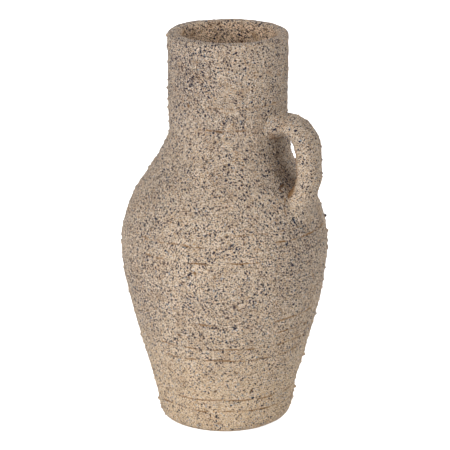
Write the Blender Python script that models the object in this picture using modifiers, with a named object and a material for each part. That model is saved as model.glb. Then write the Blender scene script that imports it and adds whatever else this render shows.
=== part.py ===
"""One-handled stoneware jug vase, hand-built from clay courses on a slab.

Metres, +Z up. The origin is the centre of the flat underside, and the handle points along +X.
"""

import math

import bmesh
import bpy
from mathutils import Matrix, Vector
from mathutils.geometry import interpolate_bezier

# Outline of the body
BASE_RADIUS = 0.0659
BELLY_RADIUS = 0.1036
NECK_RADIUS = 0.0588
MOUTH_RADIUS = 0.0600
BELLY_HEIGHT = 0.1836
SHOULDER_RISE = 0.1178
NECK_HEIGHT = 0.0986

# How far each curve of the outline runs straight on, as a share of the height it covers
FOOT_UPRIGHT = 0.243
BELLY_FULL_BELOW = 0.344
BELLY_FULL_ABOVE = 0.507
NECK_SWEEP = 0.306
FOOT_SPREAD = 0.0018

# Clay thickness and rounded edges
WALL = 0.0100
LIP_WALL = 0.0125
LIP_SWELL = 0.0300
LIP_ROUND = 0.0050
FLOOR_THICKNESS = 0.0120
BASE_ROUND = 0.0090

# Heights of the courses; the shoulder and the neck take what is left of theirs
FOOT_COURSE = 0.0100
HEEL_COURSE = 0.0127
LOWER_WALL = 0.0478
WAIST_COURSE = 0.0127
LOWER_BELLY = 0.0928
BELLY_BAND = 0.0166
UPPER_BELLY = 0.0112
NECK_SEAM_RISE = 0.0121
NECK_ROOT_COURSE = 0.0229

# Each course laps down inside the one below, with a film of slip between them
LAP = 0.0030
SLIP = 0.0003

# The strap handle, measured to the middle of the strap
HANDLE_REACH = 0.0372
HANDLE_TOP_RISE = 0.0086
HANDLE_DROP = 0.0760
HANDLE_WIDTH = 0.0324
HANDLE_THICKNESS = 0.0214
PAD_MARGIN = 0.0040
PAD_FLARE = 0.25
ROOT_DEPTH = 0.0060

# How the strap's two curves run, as shares of how far they go out, up and down
CROWN_SHARE = 0.50
LEAVES_OUT = 0.62
LEAVES_UP = 0.36
CROWN_FULL = 0.77
BACK_FULL = 0.24
LANDS_IN = 0.22
LANDS_UPRIGHT = 0.36

# How finely curves are drawn
TURN_STEPS = 48
OUTLINE_STEPS = 40
COURSE_STEP = 0.0085
ROUND_STEPS = 4
PATH_STEPS = 16
SECTION_STEPS = 24
SECTION_SQUARENESS = 2.2
SHARP_ANGLE = math.radians(40)

NECK_ROOT_HEIGHT = BELLY_HEIGHT + SHOULDER_RISE
TOTAL_HEIGHT = NECK_ROOT_HEIGHT + NECK_HEIGHT

# sRGB colours of the dry clay, which is pinker at the foot and greyer at the neck
FOOT_CLAY = (182, 161, 141)
BODY_CLAY = (173, 155, 138)
SHOULDER_CLAY = (164, 146, 129)
NECK_CLAY = (161, 144, 129)
HANDLE_CLAY = (170, 153, 138)
CLAY_ROUGHNESS = 0.92


def clear_scene():
    for obj in list(bpy.data.objects):
        bpy.data.objects.remove(obj)


def new_collection(name):
    collection = bpy.data.collections.new(name)
    bpy.context.scene.collection.children.link(collection)
    return collection


def linear(channel):
    share = channel / 255
    return share / 12.92 if share <= 0.04045 else ((share + 0.055) / 1.055) ** 2.4


def clay(name, colour):
    """Dry, unglazed stoneware of one colour."""
    material = bpy.data.materials.new(name)
    material.use_nodes = True
    rgba = (*(linear(channel) for channel in colour), 1)
    material.diffuse_color = rgba
    shader = material.node_tree.nodes["Principled BSDF"]
    shader.inputs["Base Color"].default_value = rgba
    shader.inputs["Roughness"].default_value = CLAY_ROUGHNESS
    shader.inputs["Metallic"].default_value = 0
    return material


def body_outline():
    """Points (radius, height) up the outside of the body, from three curves between four knots."""
    base = Vector((BASE_RADIUS, 0))
    belly = Vector((BELLY_RADIUS, BELLY_HEIGHT))
    neck = Vector((NECK_RADIUS, NECK_ROOT_HEIGHT))
    mouth = Vector((MOUTH_RADIUS, TOTAL_HEIGHT))
    curves = (
        (base, base + Vector((FOOT_SPREAD, FOOT_UPRIGHT * BELLY_HEIGHT)),
         belly - Vector((0, BELLY_FULL_BELOW * BELLY_HEIGHT)), belly),
        (belly, belly + Vector((0, BELLY_FULL_ABOVE * SHOULDER_RISE)),
         neck - Vector((0, NECK_SWEEP * SHOULDER_RISE)), neck),
        (neck, neck + Vector((0, NECK_HEIGHT / 3)), neck.lerp(mouth, 2 / 3), mouth),
    )
    points = []
    for knots in curves:
        points += interpolate_bezier(*knots, OUTLINE_STEPS)[1 if points else 0:]
    return [(point.x, point.y) for point in points]


OUTLINE = body_outline()


def radius_at(height):
    """Outer radius of the body at a height."""
    for (low_radius, low), (high_radius, high) in zip(OUTLINE, OUTLINE[1:]):
        if height <= high:
            break
    share = min((height - low) / (high - low), 1)
    return low_radius + share * (high_radius - low_radius)


def inner_radius_at(height):
    """Radius of the hollow: the wall thickens towards the lip."""
    share = max(0, 1 - (TOTAL_HEIGHT - height) / LIP_SWELL)
    return radius_at(height) - WALL - (LIP_WALL - WALL) * share


def levels(low, high):
    """Heights from low to high, evenly spaced."""
    count = max(1, math.ceil((high - low) / COURSE_STEP))
    return [low + (high - low) * i / count for i in range(count + 1)]


def quarter_round(centre, radius, start):
    """Points of a quarter circle that turns clockwise from the angle start, in degrees."""
    angles = (math.radians(start - 90 * i / ROUND_STEPS) for i in range(ROUND_STEPS + 1))
    return [(centre[0] + radius * math.cos(a), centre[1] + radius * math.sin(a)) for a in angles]


def course_profile(low, high):
    """Closed section of a course between two seams, down its outside and up its inside."""
    outside = [(radius_at(z), z) for z in reversed(levels(low + SLIP, high))]
    inside = [(inner_radius_at(z), z) for z in levels(low + SLIP - LAP, high - LAP)]
    return outside + inside


def neck_profile(low):
    """Section of the top course, which ends in a rounded lip."""
    edge = TOTAL_HEIGHT - LIP_ROUND
    outer = radius_at(edge) - LIP_ROUND
    inner = inner_radius_at(edge) + LIP_ROUND
    lip = quarter_round((inner, edge), LIP_ROUND, 180) + quarter_round((outer, edge), LIP_ROUND, 90)
    outside = [(radius_at(z), z) for z in reversed(levels(low + SLIP, edge)[:-1])]
    inside = [(inner_radius_at(z), z) for z in levels(low + SLIP - LAP, edge)[:-1]]
    return lip + outside + inside


def slab_profile(seam):
    """Open section of the floor slab from axis to axis, with a rounded bottom edge."""
    edge = radius_at(BASE_ROUND) - BASE_ROUND
    top = [(0, FLOOR_THICKNESS), (inner_radius_at(FLOOR_THICKNESS), FLOOR_THICKNESS), (radius_at(seam), seam)]
    return top + quarter_round((edge, BASE_ROUND), BASE_ROUND, 0) + [(0, 0)]


def mesh_object(name, collection, mesh):
    obj = bpy.data.objects.new(name, mesh)
    collection.objects.link(obj)
    return obj


def turned(name, collection, profile, closed):
    """A profile in the XZ plane turned a full circle about Z."""
    bm = bmesh.new()
    verts = [bm.verts.new((radius, 0, height)) for radius, height in profile]
    for start, end in zip(verts, verts[1:] + verts[:1] if closed else verts[1:]):
        bm.edges.new((start, end))
    mesh = bpy.data.meshes.new(name)
    bm.to_mesh(mesh)
    bm.free()
    obj = mesh_object(name, collection, mesh)
    screw = obj.modifiers.new("turn", "SCREW")
    screw.steps = TURN_STEPS
    screw.render_steps = TURN_STEPS
    screw.use_merge_vertices = True
    screw.merge_threshold = 0.00001
    return obj


def finish(obj, material):
    """Gives the object its finished mesh, smooth but for its edges, and its clay."""
    graph = bpy.context.evaluated_depsgraph_get()
    mesh = bpy.data.meshes.new_from_object(obj.evaluated_get(graph))
    mesh.name = obj.name
    obj.modifiers.clear()
    obj.data = mesh
    mesh.shade_smooth()
    mesh.set_sharp_from_angle(angle=SHARP_ANGLE)
    mesh.materials.clear()
    mesh.materials.append(material)


def seam_heights():
    """Height of the seam under each course above the slab, by the course's name."""
    courses = (
        ("foot_course", FOOT_COURSE),
        ("heel_course", HEEL_COURSE),
        ("lower_wall", LOWER_WALL),
        ("waist_course", WAIST_COURSE),
        ("lower_belly", LOWER_BELLY),
        ("belly_band", BELLY_BAND),
        ("upper_belly", UPPER_BELLY),
    )
    seams = {}
    height = FLOOR_THICKNESS + LAP
    for name, rise in courses:
        seams[name] = height
        height += rise
    seams["shoulder"] = height
    seams["neck_root"] = NECK_ROOT_HEIGHT + NECK_SEAM_RISE
    seams["neck"] = seams["neck_root"] + NECK_ROOT_COURSE
    return seams


def make_body(collection):
    """The slab, the courses and the neck, from the bottom up."""
    seams = seam_heights()
    names = list(seams)
    colours = dict.fromkeys(names[:3], FOOT_CLAY)
    colours.update(shoulder=SHOULDER_CLAY, neck_root=NECK_CLAY, neck=NECK_CLAY)
    slab = turned("floor_slab", collection, slab_profile(seams[names[0]]), closed=False)
    finish(slab, clay("floor_slab", FOOT_CLAY))
    for name, above in zip(names, names[1:]):
        course = turned(name, collection, course_profile(seams[name], seams[above]), closed=True)
        finish(course, clay(name, colours.get(name, BODY_CLAY)))
    neck = turned("neck", collection, neck_profile(seams["neck"]), closed=True)
    finish(neck, clay("neck", NECK_CLAY))


def make_envelope(collection):
    """The space that the body fills, a film of slip larger, which the handle's pads are cut by."""
    seams = seam_heights()
    names = list(seams)
    heights = [TOTAL_HEIGHT]
    for name, above in reversed(list(zip(names, names[1:]))):
        heights += reversed(levels(seams[name] + SLIP, seams[above]))
    side = [(radius_at(z) + SLIP, z) for z in heights]
    profile = [(0, heights[0]), *side, (0, heights[-1])]
    envelope = turned("body_envelope", collection, profile, closed=False)
    envelope.display_type = "WIRE"
    envelope.hide_render = True
    return envelope


def handle_path():
    """Middle line of the strap in the XZ plane, from inside the neck over and down into the shoulder."""
    top_height = NECK_ROOT_HEIGHT + HANDLE_TOP_RISE
    foot_height = top_height - HANDLE_DROP
    crown_height = top_height - HANDLE_DROP * CROWN_SHARE
    top = Vector((radius_at(top_height) - ROOT_DEPTH, top_height))
    crown = Vector((radius_at(top_height) + HANDLE_REACH, crown_height))
    foot = Vector((radius_at(foot_height) - ROOT_DEPTH, foot_height))
    out = crown.x - top.x
    rise = top.y - crown.y
    fall = crown.y - foot.y
    leaving = top + Vector((LEAVES_OUT * out, LEAVES_UP * rise))
    landing = foot + Vector((LANDS_IN * fall, LANDS_UPRIGHT * fall))
    over = interpolate_bezier(top, leaving, crown + Vector((0, CROWN_FULL * rise)), crown, PATH_STEPS)
    down = interpolate_bezier(crown, crown - Vector((0, BACK_FULL * fall)), landing, foot, PATH_STEPS)
    buried = foot + (foot - landing).normalized() * ROOT_DEPTH
    return over + down[1:] + [buried]


def section_outline(collection):
    """Guide curve with the rounded section of the strap, its width along Y."""
    curve = bpy.data.curves.new("strap_section", "CURVE")
    curve.dimensions = "2D"
    spline = curve.splines.new("POLY")
    spline.points.add(SECTION_STEPS - 1)
    spline.use_cyclic_u = True
    for i, point in enumerate(spline.points):
        angle = 2 * math.pi * i / SECTION_STEPS
        across, along = math.cos(angle), math.sin(angle)
        x = math.copysign(abs(across) ** (2 / SECTION_SQUARENESS), across) * HANDLE_THICKNESS / 2
        y = math.copysign(abs(along) ** (2 / SECTION_SQUARENESS), along) * HANDLE_WIDTH / 2
        point.co = (x, y, 0, 1)
    guide = bpy.data.objects.new("strap_section", curve)
    guide.display_type = "WIRE"
    guide.hide_render = True
    collection.objects.link(guide)
    return guide


def swept(name, collection, section, points, swell):
    """The section carried along points, each enlarged by its swell, as a closed mesh in the XZ plane."""
    curve = bpy.data.curves.new(name, "CURVE")
    curve.dimensions = "3D"
    curve.twist_mode = "Z_UP"
    curve.bevel_mode = "OBJECT"
    curve.bevel_object = section
    curve.use_fill_caps = True
    spline = curve.splines.new("POLY")
    spline.points.add(len(points) - 1)
    for target, point, size in zip(spline.points, points, swell):
        target.co = (*point, 0, 1)
        target.radius = size
    source = bpy.data.objects.new(name, curve)
    collection.objects.link(source)
    graph = bpy.context.evaluated_depsgraph_get()
    mesh = bpy.data.meshes.new_from_object(source.evaluated_get(graph))
    bpy.data.objects.remove(source)
    mesh.transform(Matrix.Rotation(math.radians(90), 4, "X"))
    bm = bmesh.new()
    bm.from_mesh(mesh)
    bmesh.ops.remove_doubles(bm, verts=bm.verts, dist=0.00001)
    bmesh.ops.recalc_face_normals(bm, faces=bm.faces)
    bm.to_mesh(mesh)
    bm.free()
    return mesh_object(name, collection, mesh)


def trim(obj, point, direction):
    """Cuts off what lies beyond a plane, on the side that direction points to, and closes the cut."""
    bm = bmesh.new()
    bm.from_mesh(obj.data)
    cut = bmesh.ops.bisect_plane(
        bm,
        geom=bm.verts[:] + bm.edges[:] + bm.faces[:],
        plane_co=(point.x, 0, point.y),
        plane_no=(direction.x, 0, direction.y),
        clear_outer=True,
    )
    edges = [item for item in cut["geom_cut"] if isinstance(item, bmesh.types.BMEdge)]
    bmesh.ops.edgeloop_fill(bm, edges=edges)
    bmesh.ops.recalc_face_normals(bm, faces=bm.faces)
    bm.to_mesh(obj.data)
    bm.free()


def distances(points):
    """How far each point lies along the path."""
    total = [0]
    for start, end in zip(points, points[1:]):
        total.append(total[-1] + (end - start).length)
    return total


def wall_clearance(points, i):
    """How far the strap's cross-section at a point of its path stays from the body."""
    direction = (points[i + 1] - points[i - 1]).normalized()
    half = Vector((-direction.y, direction.x)) * HANDLE_THICKNESS / 2
    return min(corner.x - radius_at(corner.y) for corner in (points[i] + half, points[i] - half))


def seat(piece, envelope):
    """Cuts a pad to lie against the body."""
    cut = piece.modifiers.new("body", "BOOLEAN")
    cut.operation = "DIFFERENCE"
    cut.object = envelope


def make_handle(collection, guides, envelope):
    """The strap and the two pads of clay that join it to the neck and the shoulder."""
    section = section_outline(guides)
    points = handle_path()
    along = distances(points)
    clear = [i for i in range(1, len(points) - 1) if wall_clearance(points, i) > PAD_MARGIN]
    top_joint, foot_joint = clear[0], clear[-1]
    swell = [
        1 + PAD_FLARE * max(0, 1 - far / along[top_joint], (far - along[foot_joint]) / (along[-1] - along[foot_joint]))
        for far in along
    ]
    ranges = {
        "handle_top_pad": (0, top_joint + 1),
        "handle": (top_joint - 1, foot_joint + 1),
        "handle_foot_pad": (foot_joint - 1, len(points) - 1),
    }
    pieces = {}
    for name, (first, last) in ranges.items():
        pieces[name] = swept(name, collection, section, points[first : last + 1], swell[first : last + 1])
    for joint, above, below in (
        (top_joint, "handle_top_pad", "handle"),
        (foot_joint, "handle", "handle_foot_pad"),
    ):
        direction = (points[joint + 1] - points[joint - 1]).normalized()
        trim(pieces[above], points[joint] - direction * SLIP / 2, direction)
        trim(pieces[below], points[joint] + direction * SLIP / 2, -direction)
    for name, piece in pieces.items():
        if name != "handle":
            seat(piece, envelope)
        finish(piece, clay(name, HANDLE_CLAY))


def main():
    clear_scene()
    parts = new_collection("jug_vase")
    guides = new_collection("cutters")
    make_body(parts)
    make_handle(parts, guides, make_envelope(guides))


main()
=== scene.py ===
"""Hand-built jug vase in dry, grogged stoneware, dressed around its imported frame.

Metres, +Z up. The body stands on the origin and the handle points along +X. A place on the body is
given by its turn, the angle about Z from the handle in degrees, and its height above the floor.
"""

import math
from functools import partial

import bmesh
import bpy
import numpy as np
from bpy.props import FloatProperty, FloatVectorProperty, IntProperty, PointerProperty
from bpy.types import NodeSocket, Operator, Panel, PropertyGroup
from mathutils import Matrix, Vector
from mathutils.geometry import interpolate_bezier
from mathutils.kdtree import KDTree


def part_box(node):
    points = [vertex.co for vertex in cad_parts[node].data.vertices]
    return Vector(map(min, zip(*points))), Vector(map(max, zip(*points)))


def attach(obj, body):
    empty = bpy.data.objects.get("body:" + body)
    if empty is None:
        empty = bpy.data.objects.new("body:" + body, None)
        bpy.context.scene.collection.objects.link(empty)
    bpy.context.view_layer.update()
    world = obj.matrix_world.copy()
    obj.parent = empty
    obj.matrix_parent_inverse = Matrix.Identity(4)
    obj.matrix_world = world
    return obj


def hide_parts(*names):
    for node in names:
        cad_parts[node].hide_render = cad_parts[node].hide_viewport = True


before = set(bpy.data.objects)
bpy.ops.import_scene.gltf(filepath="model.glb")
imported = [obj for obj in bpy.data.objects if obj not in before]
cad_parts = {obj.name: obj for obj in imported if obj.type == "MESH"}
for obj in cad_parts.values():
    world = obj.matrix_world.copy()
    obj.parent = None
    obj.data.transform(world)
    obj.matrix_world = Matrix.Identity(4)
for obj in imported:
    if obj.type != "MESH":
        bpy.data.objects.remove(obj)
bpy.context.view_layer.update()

bl_info = {
    "name": "Grogged Stoneware Jug Vase",
    "version": (1, 0, 0),
    "blender": (4, 5, 0),
    "location": "View3D > Sidebar > Jug Vase",
    "description": "Hand-built jug vase in dry speckled stoneware, and the studio it stands in",
    "category": "Add Mesh",
}

MM = 0.001

# The courses between the slab and the neck, from the bottom up, each with a finish name that the build
# does not use
COURSES = (
    ("foot_course", "foot_clay"),
    ("heel_course", "foot_clay"),
    ("lower_wall", "body_clay"),
    ("waist_course", "body_clay"),
    ("lower_belly", "body_clay"),
    ("belly_band", "body_clay"),
    ("upper_belly", "body_clay"),
    ("shoulder", "shoulder_clay"),
    ("neck_root", "neck_clay"),
)

# Steps that a section is spun in, and how often each step's arc is then cut
SPIN_STEPS = 48
SPIN_CUTS = 16

# Points along each curve of the body's outline
OUTLINE_POINTS = 240

# Film of slip between each lap and the course below
SLIP = 0.2 * MM

# Height between the mesh rings inside, out of sight and where the mouth shows them
HIDDEN_GAP = 8 * MM
MOUTH_GAP = 1.5 * MM

# How far down the inside shows through the mouth, and the share of the relief it has
MOUTH_DEPTH = 60 * MM
MOUTH_DETAIL = 0.8

# Height over which the relief of the base round fades out towards the ground
BASE_FADE = 1.5 * MM

# Distance within which the points on the axis are one
POLE_REACH = 0.01 * MM

# Folds sharper than this stay sharp
SHARP_ANGLE = math.radians(62)

# Ring lines: height and depth in mm, turn of the middle and half length in degrees, browning 0 to 1,
# partly staining and partly painted shade in the groove
LINES = (
    (15.0, 0.1, 0, 180, 0.1), (25.0, 0.55, -56, 74, 0.89), (25.0, 0.7, -8, 34, 1),
    (25.0, 0.35, 120, 60, 0.78), (37.7, 0.5, -44, 58, 0.86), (37.7, 0.35, 150, 70, 0.78),
    (85.5, 0.4, -52, 52, 0.9), (85.5, 0.65, -57, 9, 1), (85.5, 0.35, 100, 40, 0.78),
    (98.2, 0.3, -76, 30, 0.9), (104.5, 0.3, 6, 16, 0.9), (98.2, 0.5, -18, 30, 0.95),
    (98.2, 0.35, 165, 50, 0.78), (112.0, 0.45, -12, 18, 0.95), (126.1, 0.6, -71, 8, 0.98),
    (126.1, 0.4, -8, 22, 0.95), (126.1, 0.35, 95, 35, 0.78), (191.0, 0.45, -100, 19, 0.89),
    (191.0, 0.75, -73, 8, 1), (192.3, 0.6, -47, 11, 0.95), (191.0, 0.35, 140, 45, 0.78),
    (207.6, 0.45, -92, 22, 0.86), (207.6, 0.3, -62, 12, 0.73), (208.8, 0.5, -6, 26, 0.92),
    (218.8, 0.2, -30, 30, 0.66), (218.8, 0.35, 175, 50, 0.78), (313.5, 0.5, -56, 26, 1),
    (313.5, 0.3, -8, 20, 0.9), (313.5, 0.3, 160, 60, 0.75), (336.4, 0.2, -30, 50, 0.66),
    (336.4, 0.25, 130, 50, 0.71),
)

# Marks in the clay: turn in degrees, then height, half width, half height, tilt in degrees, depth in
# mm (below 0 it stands proud), and how brown and how dark it is, 0 to 1
MARKS = (
    (-55.1, 210.3, 2.1, 1.1, 28, 0.1, 0, 1), (-58.2, 206.3, 1.1, 0.9, 0, 0.1, 0, 0.9),
    (-81.1, 190.7, 1.2, 1.3, 0, 0.1, 0, 0.8), (-75.1, 181.3, 1.7, 2.2, 20, 0.4, 0.9, 0.1),
    (-78.8, 176.5, 1.2, 1.6, 0, 0.3, 0.8, 0.2), (-53.8, 147.0, 1.3, 3.0, 15, 0.7, 0.6, 0.8),
    (-52.9, 139.0, 1, 1.8, -10, 0.4, 0.3, 0.8), (-50.5, 142.5, 3.2, 0.9, -40, 0.3, 0.7, 0.1),
    (-88.5, 111.2, 2.2, 1.2, 5, 0.5, 0.9, 0.3), (-83.9, 107.9, 1.4, 1, 0, 0.3, 0.7, 0.1),
    (-72.4, 104.8, 1.8, 1.2, 0, 0.3, 0.6, 0.1), (-66.6, 49.0, 2.4, 1, 48, 0.9, 0.9, 0.5),
    (-38.7, 48.2, 0.9, 3.0, -22, 0.9, 0.9, 0.5), (-64.4, 11.6, 4.5, 1.6, 0, 0.4, 0.6, 0),
    (-51.2, 70.8, 1.8, 1.2, 0, 0.4, 0.8, 0.2), (-33.1, 84.5, 1.7, 0.9, -20, 0.2, 0, 0.9),
    (-109.4, 123.1, 1.4, 0.9, 20, 0.1, 0, 0.9), (-93.5, 184.5, 0.9, 6.0, 0, 0.2, 0.5, 0),
    (-68.3, 312.8, 4.2, 1.3, -8, 0.9, 0.9, 0.4), (-63.7, 322.6, 1, 2.6, 30, 0.5, 0.4, 0.7),
    (-60.0, 294.7, 3.0, 0.9, -32, 0.1, 0, 0.8), (-76.1, 283.4, 1.4, 1.2, 30, 0.1, 0, 0.9),
    (-120.7, 235.4, 1.1, 1.1, 0, 0.1, 0, 0.9), (-66.9, 243.3, 1.3, 0.9, 0, 0.1, 0, 0.9),
    (-59.2, 260.4, 1.1, 1.1, 0, 0.1, 0, 0.8), (-115.3, 293.1, 1.4, 2.4, 0, 0.1, 0, 0.7),
    (-101.9, 396.0, 1.1, 1.9, 20, 0.2, 0, 0.9), (-102.5, 367.2, 1.4, 2.0, 30, 0.1, 0, 0.8),
    (-95.1, 357.4, 1.8, 1.1, -30, 0.1, 0, 0.8), (-72.0, 362.4, 2.2, 1, -20, 0.1, 0, 0.8),
    (-73.0, 350.0, 2.2, 0.9, -35, 0.1, 0, 0.8), (-100.4, 335.4, 1.6, 2.4, 0, 0.4, 0.8, 0.2),
    # The marks at turns -12.5 and -15.5 are cracks whose dark brown also paints the contact shade under
    # the strap's foot
    (-71.5, 191.6, 4.0, 0.8, 0, 0.5, 1, 0.4), (-12.5, 257.0, 4.0, 1.2, 12, 0.6, 1, 0.45),
    (-15.5, 253.5, 2.6, 1, -30, 0.4, 0.9, 0.25),
)

# Fine cracks: depth in mm and how brown they are, 0 to 1, partly staining and partly painted shade in
# the crack, then the places that they pass, each by its turn in degrees and its height in mm
CRACKS = (
    (0.25, 0.9, (29, 232), (17, 223), (12, 210), (7, 197), (3, 184), (-2, 170), (3, 157), (6, 144),
     (2, 131)),
    (0.30, 0.9, (2, 131), (-3, 127), (-15, 127), (-23, 126)),
    (0.30, 0.8, (-31, 150), (-27, 143), (-23, 133)),
    (0.40, 1.0, (-14, 247), (-19, 238), (-18, 229)),
)

# The largest grains that stand proud: turn in degrees, then height and how far it stands out, in mm
PROUD_GRAINS = (
    (-149, 396, 1.6), (-148, 386, 1.1), (-150, 369, 0.9), (-148, 343, 1.6), (-144, 338, 1.0),
    (-146, 332, 1.2), (-148, 323, 1.6), (-147, 309, 1.2), (-155, 287, 1.3), (-159, 276, 0.9),
    (-160, 266, 1.0), (-158, 258, 1.7), (-160, 243, 0.9), (-155, 238, 1.0), (-150, 214, 1.0),
    (-151, 203, 1.1), (-152, 196, 1.2), (-150, 190, 1.2), (-145, 184, 1.0), (-143, 170, 0.9),
    (-145, 158, 0.9), (-142, 86, 1.4), (-143, 79, 1.0), (-144, 71, 1.0), (-144, 16, 2.0),
    (33, 209, 2.7), (30, 195, 1.9), (28, 186, 0.9), (26, 179, 1.3), (25, 146, 1.5), (24, 110, 1.6),
    (20, 103, 1.0), (26, 85, 1.2), (23, 66, 2.2), (22, 58, 1.2), (23, 40, 1.0), (24, 30, 2.8),
    (23, 18, 1.1),
)

# Broad swells and dents left by the hand: turn in degrees, then height, half width, half height and how
# far it stands out, in mm
SWELLS = (
    (28, 288.0, 15.0, 8.0, 3.4),
    (15, 0.0, 65.0, 8.0, -2.8),
    (20, 19.0, 45.0, 12.0, 1.5),
)

# Width and browning of a proud grain
PROUD_WIDTH = 1.5
PROUD_BROWN = 0.2

# Half width of the ring lines and cracks, and how far from their middle lines and marks are looked for
LINE_WIDTH = 0.8 * MM
CRACK_WIDTH = 0.6 * MM
LINE_REACH = 4 * MM
MARK_REACH = 9 * MM

# Degrees on each side of its end over which a ring line fades
LINE_FADE = 4

# Share of the grains that stand well clear, how far a grain reaches, and the share of the neck's height
# over which its inside has grains
TALL_SHARE = 0.2
GRAIN_REACH = 3 * MM
GRAINY_NECK = 0.6

# Depth of the deepest pits, and how brown they are, which is painted shade in them
PIT_DEPTH = 0.6 * MM
PIT_BROWN = 0.5

# How far the pot leans over, in mm at each height in metres, and which way
LEAN_HEIGHTS = (0, 0.09, 0.18, 0.276, 0.284, 0.300, 0.4)
LEANS = (0.7, 0.2, -0.4, 0.2, 0.8, 3.2, 3.2)
LEAN_TURN = math.radians(31)

# How much thicker or thinner the dark grog lies at the foot, which fades out from the first height to
# the second, in the mouth and on the strap
FOOT_DRIFT = -0.32
FOOT_HEIGHTS = (50 * MM, 110 * MM)
MOUTH_DRIFT = 0.4
STRAP_DRIFT = -0.15

# Where dark grog lies thicker or thinner: turn in degrees, height and reach in mm, how much
DRIFTS = (
    (-100, 365, 34, 0.75), (-40, 372, 34, -0.25), (-112, 262, 26, 0.25), (-60, 285, 30, 0.05),
    # The drift at turn -10, height 205 is denser grog that also darkens the belly under the handle's
    # foot as painted shade
    (-65, 150, 36, 0.30), (-50, 25, 40, -0.20), (-115, 205, 42, 0.35), (-10, 205, 34, 0.65),
    # The drift at turn -8, height 268 is a painted shadow of the strap in the handle's loop
    (-8, 268, 15, 0.7), (-20, 165, 36, 0.25), (-115, 140, 40, 0.55), (120, 330, 40, 0.40),
    (70, 240, 45, 0.35), (150, 150, 50, 0.35),
)


def to_linear(code):
    """Linear colour of an sRGB hex code such as #A08060."""
    channels = [int(code[i : i + 2], 16) / 255 for i in (1, 3, 5)]
    return [c / 12.92 if c <= 0.04045 else ((c + 0.055) / 1.055) ** 2.4 for c in channels]


def length(name, default, description):
    """A length that a user can change, in metres."""
    return FloatProperty(
        name=name, description=description, default=default,
        min=0, precision=4, subtype="DISTANCE", unit="LENGTH",
    )


def share(name, default, description):
    """A share that a user can change, from 0 to 1."""
    return FloatProperty(
        name=name, description=description, default=default, min=0, max=1, subtype="FACTOR"
    )


def whole_number(name, default, description):
    """A whole number that a user can change."""
    return IntProperty(name=name, description=description, default=default, min=0)


def colour(name, default, description):
    """A colour that a user can change, given as an sRGB hex code."""
    return FloatVectorProperty(
        name=name, description=description, default=to_linear(default),
        min=0, max=1, size=3, subtype="COLOR",
    )


class JugBodySizes(PropertyGroup):
    """Outline and wall of the body."""

    base_radius: length("Base radius", 0.0659, "Outside radius at the floor, before its edge is rounded")
    belly_radius: length("Belly radius", 0.1036, "Outside radius where the belly is widest")
    neck_radius: length("Neck radius", 0.0588, "Outside radius at the root of the neck")
    mouth_radius: length("Mouth radius", 0.0600, "Outside radius at the top of the lip")
    belly_height: length("Belly height", 0.1836, "Height where the belly is widest")
    shoulder_rise: length("Shoulder rise", 0.1178, "Height from the widest belly to the neck's root")
    neck_height: length("Neck height", 0.0986, "Height of the neck above its root")
    foot_spread: length("Foot spread", 0.0018, "How far the foot leans out as it rises")
    foot_upright: share("Foot upright", 0.243, "Share of the belly height where the foot is straight")
    full_below: share("Full below", 0.344, "Share of the belly height over which the belly stays full")
    full_above: share("Full above", 0.507, "Share of the shoulder rise over which the belly stays full")
    neck_sweep: share("Neck sweep", 0.306, "Share of the shoulder rise over which the neck sweeps out")
    wall: length("Wall", 0.0100, "Thickness of the wall")
    lip_wall: length("Lip wall", 0.0125, "Thickness of the wall at the lip")
    lip_swell: length("Lip swell", 0.0300, "Height over which the wall thickens to the lip")
    lip_round: length("Lip round", 0.0032, "Radius of the lip's outer edge")
    mouth_round: length("Mouth round", 0.0050, "Radius of the lip's inner edge")
    floor: length("Floor", 0.0120, "Thickness of the slab that the body stands on")
    base_round: length("Base round", 0.0090, "Radius of the bottom edge")
    lap: length("Lap", 0.0030, "How far each course laps down inside the one below")


class JugHandleSizes(PropertyGroup):
    """Path and section of the strap handle."""

    reach: length("Reach", 0.0379, "How far the middle of the strap stands out from the neck")
    top_rise: length("Top rise", 0.0086, "Height of the upper joint above the root of the neck")
    drop: length("Drop", 0.0760, "Height from the lower joint to the upper one")
    crown: share("Crown", 0.59, "Share of the drop at which the strap stands out furthest")
    width: length("Width", 0.0324, "Width of the strap")
    thickness: length("Thickness", 0.0214, "Thickness of the strap")
    root_depth: length("Root depth", 0.0060, "How deep the strap is set into the wall")
    fillet: length("Fillet", 0.0042, "Radius of the clay smoothed into each joint")
    pad_margin: length("Pad margin", 0.0040, "How far the strap clears the wall where its pads begin")
    flare: share("Flare", 0.25, "How much the strap widens at its joints")
    sandiness: share("Sandiness", 0.85, "How much of the sandy skin the smoothing hand left")


class JugSurfaceSizes(PropertyGroup):
    """Relief of the fired surface."""

    ring_gap: length("Ring gap", 0.00095, "Height between the rings of the outside mesh")
    wobble: length("Wobble", 0.0006, "How far the wall wanders out of round")
    coil_swell: length("Coil swell", 0.00035, "Height of the soft bands left by the coils")
    dents: length("Dents", 0.00045, "Depth of finger dents")
    sand: length("Sand", 0.00022, "Height of the sandy skin")
    grit_radius: length("Grit radius", 0.0010, "Usual radius of a grain of grog that stands proud")
    grit_height: length("Grit height", 0.0015, "Usual height of a grain of grog that stands proud")
    grit_count: whole_number("Grit count", 13000, "Grains that stand proud")
    pit_count: whole_number("Pit count", 900, "Small pits where grains fell out")
    seed: whole_number("Seed", 7, "Changes where the grains lie")


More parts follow.
